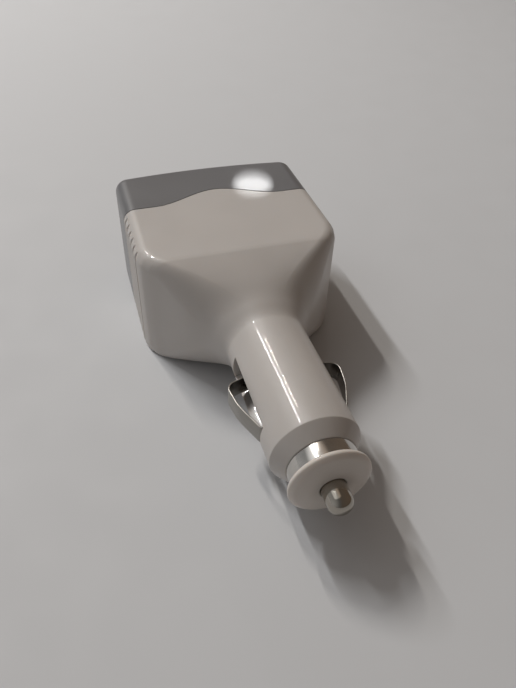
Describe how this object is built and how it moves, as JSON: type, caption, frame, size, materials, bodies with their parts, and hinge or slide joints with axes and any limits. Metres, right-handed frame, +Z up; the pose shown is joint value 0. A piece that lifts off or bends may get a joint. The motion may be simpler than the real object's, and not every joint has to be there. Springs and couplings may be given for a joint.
{
  "type": "car usb charger plug",
  "caption": "Car charger plug: a wide flat head with USB outlets, a lofted neck and a round barrel with bowed side contacts and a sprung centre pin.",
  "frame": {"origin": "on the plug's axis, at the root of the barrel, where the neck has almost turned round", "axes": "+Y along the plug's axis towards its tip, +Z up with the flat head lying on its bottom, +X to the right seen from behind the outlets"},
  "size_m": [0.055, 0.1179, 0.032],
  "materials": {
    "white_plastic": "glossy moulded off-white",
    "grey_plastic": "glossy silver grey",
    "bright_ring": "turned and polished",
    "nickel_pin": "plated and polished",
    "spring_leaf": "satin",
    "carrier_plastic": "moulded, matt",
    "fuse_glass": "clear",
    "fuse_metal": "plated",
    "spring_steel": "drawn wire",
    "stamped_brass": "stamped sheet",
    "board": "green solder mask",
    "outlet_steel": "tinned sheet",
    "outlet_insulator": "moulded white",
    "outlet_contact": "gold plated",
    "lamp_lens": "clear pale blue",
    "ferrite": "sintered, dark grey",
    "capacitor_can": "drawn can",
    "chip_black": "moulded epoxy",
    "ceramic": "fired ceramic"
  },
  "bodies": {
    "housing": {"rear_housing": "white_plastic", "front_cap": "grey_plastic", "nose_ring": "bright_ring", "nose_cap": "white_plastic", "fuse_spring": "spring_steel", "spring_terminal": "stamped_brass", "ground_washer": "stamped_brass", "contact_carrier": "carrier_plastic", "circuit_board": "board", "status_led": "lamp_lens", "power_inductor": "ferrite", "input_capacitor": "capacitor_can", "output_capacitor": "capacitor_can", "converter_chip": "chip_black", "rectifier_diode": "chip_black", "chip_parts": "ceramic", "positive_lead": "stamped_brass", "negative_lead": "stamped_brass", "usb_shell_left": "outlet_steel", "usb_tongue_left": "outlet_insulator", "usb_contacts_left": "outlet_contact", "usb_shell_right": "outlet_steel", "usb_tongue_right": "outlet_insulator", "usb_contacts_right": "outlet_contact"},
    "plunger": {"centre_pin": "nickel_pin", "fuse_cap_front": "fuse_metal", "fuse_cap_rear": "fuse_metal", "fuse_tube": "fuse_glass", "fuse_strip": "fuse_metal"},
    "left_leaf": {"left_contact": "spring_leaf"},
    "right_leaf": {"right_contact": "spring_leaf"}
  },
  "joints": [
    {"name": "pin_slide", "type": "slide", "parent": "housing", "child": "plunger", "axis": [0, -1, 0], "range_m": [0, 0.003], "stiffness_N_per_m": 1500, "deforming": ["fuse_spring"]},
    {"name": "left_leaf_flex", "type": "hinge", "parent": "housing", "child": "left_leaf", "pos_m": [-0.007, 0.0345, 0], "axis": [0, 0, 1], "range_deg": [0, 9], "stiffness_Nm_per_rad": 0.6},
    {"name": "right_leaf_flex", "type": "hinge", "parent": "housing", "child": "right_leaf", "pos_m": [0.007, 0.0345, 0], "axis": [0, 0, -1], "range_deg": [0, 9], "stiffness_Nm_per_rad": 0.6}
  ]
}
